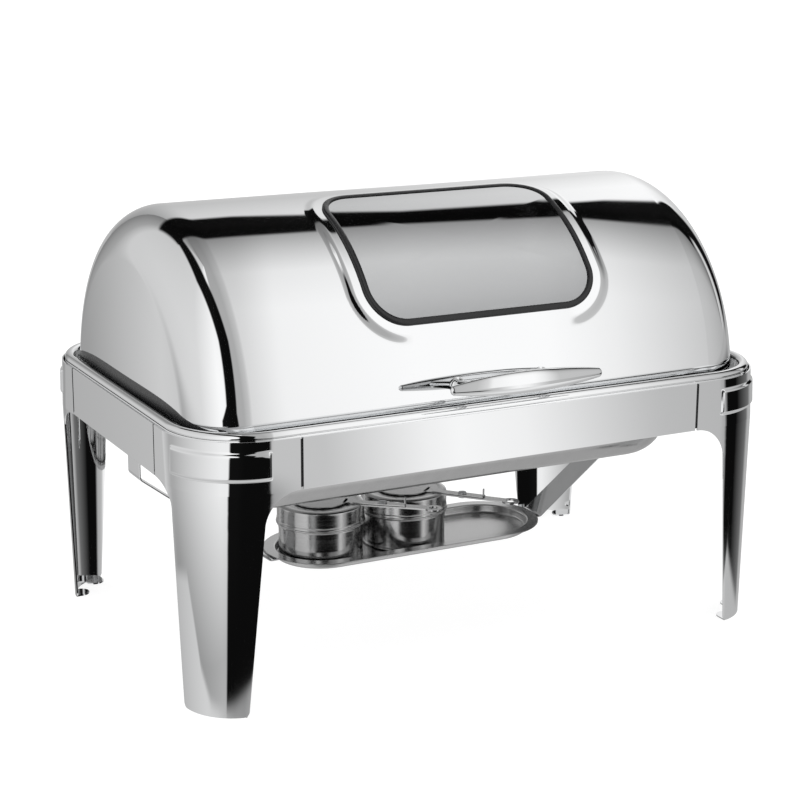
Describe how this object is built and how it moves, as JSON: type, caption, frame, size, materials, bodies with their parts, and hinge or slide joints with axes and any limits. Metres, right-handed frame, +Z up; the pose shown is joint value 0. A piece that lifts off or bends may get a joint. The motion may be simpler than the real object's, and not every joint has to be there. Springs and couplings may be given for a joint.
{
  "type": "roll top chafing dish",
  "caption": "Full-size roll top chafing dish: mirror-polished dome with a curved window rolling back on end pivots, over nested water and food pans and a hung fuel tray with lidded burners.",
  "frame": {"origin": "on the floor, under the middle of the whole with its handle, which is 13.1 mm in front of the middle of the stand", "axes": "+Z up, X along the length with +X to the right as seen from the front, -Y towards the front, where the handle is"},
  "size_m": [0.64, 0.4622, 0.4459],
  "materials": {
    "mirror_steel": "mirror-polished stainless steel",
    "satin_steel": "satin stainless steel",
    "zinc_steel": "plain zinc-plated steel",
    "rubber": "matt black silicone rubber",
    "friction_pad": "matt friction lining",
    "nylon": "natural nylon",
    "glass": "clear tempered glass"
  },
  "bodies": {
    "stand": {"rim_ring": "mirror_steel", "leg_front_left": "mirror_steel", "leg_front_right": "mirror_steel", "leg_rear_left": "mirror_steel", "leg_rear_right": "mirror_steel", "leg_nut_front_left_long": "zinc_steel", "leg_nut_front_left_short": "zinc_steel", "leg_nut_front_right_long": "zinc_steel", "leg_nut_front_right_short": "zinc_steel", "leg_nut_rear_left_long": "zinc_steel", "leg_nut_rear_left_short": "zinc_steel", "leg_nut_rear_right_long": "zinc_steel", "leg_nut_rear_right_short": "zinc_steel", "skirt_front": "mirror_steel", "skirt_rear": "mirror_steel", "skirt_left": "mirror_steel", "skirt_right": "mirror_steel", "carrier_ring": "satin_steel", "pivot_bracket_left": "zinc_steel", "pivot_pin_left": "zinc_steel", "friction_washer_left": "friction_pad", "tray_strap_left": "mirror_steel", "pivot_plate_left": "satin_steel", "pivot_nut_left": "zinc_steel", "carrier_rivet_left": "zinc_steel", "strap_bolt_left_front": "zinc_steel", "strap_bolt_left_rear": "zinc_steel", "closing_bumper_left": "rubber", "pivot_bracket_right": "zinc_steel", "pivot_pin_right": "zinc_steel", "friction_washer_right": "friction_pad", "tray_strap_right": "mirror_steel", "pivot_plate_right": "satin_steel", "pivot_nut_right": "zinc_steel", "carrier_rivet_right": "zinc_steel", "strap_bolt_right_front": "zinc_steel", "strap_bolt_right_rear": "zinc_steel", "closing_bumper_right": "rubber", "fuel_tray": "satin_steel"},
    "dome": {"dome_shell": "mirror_steel", "window_seal": "rubber", "window_glass": "glass", "pivot_bush_left": "nylon", "pivot_bush_right": "nylon", "handle_bar": "mirror_steel", "handle_post_left": "mirror_steel", "handle_post_right": "mirror_steel", "handle_screw_left": "zinc_steel", "handle_screw_right": "zinc_steel"},
    "water_pan": {"water_pan": "satin_steel"},
    "food_pan": {"food_pan": "satin_steel"},
    "holder_1": {"fuel_holder_1": "satin_steel"},
    "lid_1": {"holder_lid_1": "satin_steel", "damper_rivet_1": "zinc_steel"},
    "damper_1": {"damper_1": "satin_steel"},
    "holder_2": {"fuel_holder_2": "satin_steel"},
    "lid_2": {"holder_lid_2": "satin_steel", "damper_rivet_2": "zinc_steel"},
    "damper_2": {"damper_2": "satin_steel"}
  },
  "joints": [
    {"name": "dome_roll", "type": "hinge", "parent": "stand", "child": "dome", "pos_m": [0, 0.01311, 0.246], "axis": [-1, 0, 0], "range_deg": [0, 158]},
    {"name": "water_pan_lift", "type": "slide", "parent": "stand", "child": "water_pan", "axis": [0, 0, 1], "range_m": [0, 0.025]},
    {"name": "food_pan_lift", "type": "slide", "parent": "water_pan", "child": "food_pan", "axis": [0, 0, 1], "range_m": [0, 0.04]},
    {"name": "holder_1_lift", "type": "slide", "parent": "stand", "child": "holder_1", "axis": [0, 0, 1], "range_m": [0, 0.012]},
    {"name": "lid_1_lift", "type": "slide", "parent": "holder_1", "child": "lid_1", "axis": [0, 0, 1], "range_m": [0, 0.015]},
    {"name": "damper_1_swing", "type": "hinge", "parent": "lid_1", "child": "damper_1", "pos_m": [-0.04549, -0.02815, 0.1254], "axis": [0, 0, 1], "range_deg": [0, 75]},
    {"name": "holder_2_lift", "type": "slide", "parent": "stand", "child": "holder_2", "axis": [0, 0, 1], "range_m": [0, 0.012]},
    {"name": "lid_2_lift", "type": "slide", "parent": "holder_2", "child": "lid_2", "axis": [0, 0, 1], "range_m": [0, 0.015]},
    {"name": "damper_2_swing", "type": "hinge", "parent": "lid_2", "child": "damper_2", "pos_m": [0.04365, -0.03639, 0.1254], "axis": [0, 0, 1], "range_deg": [-75, 0]}
  ]
}
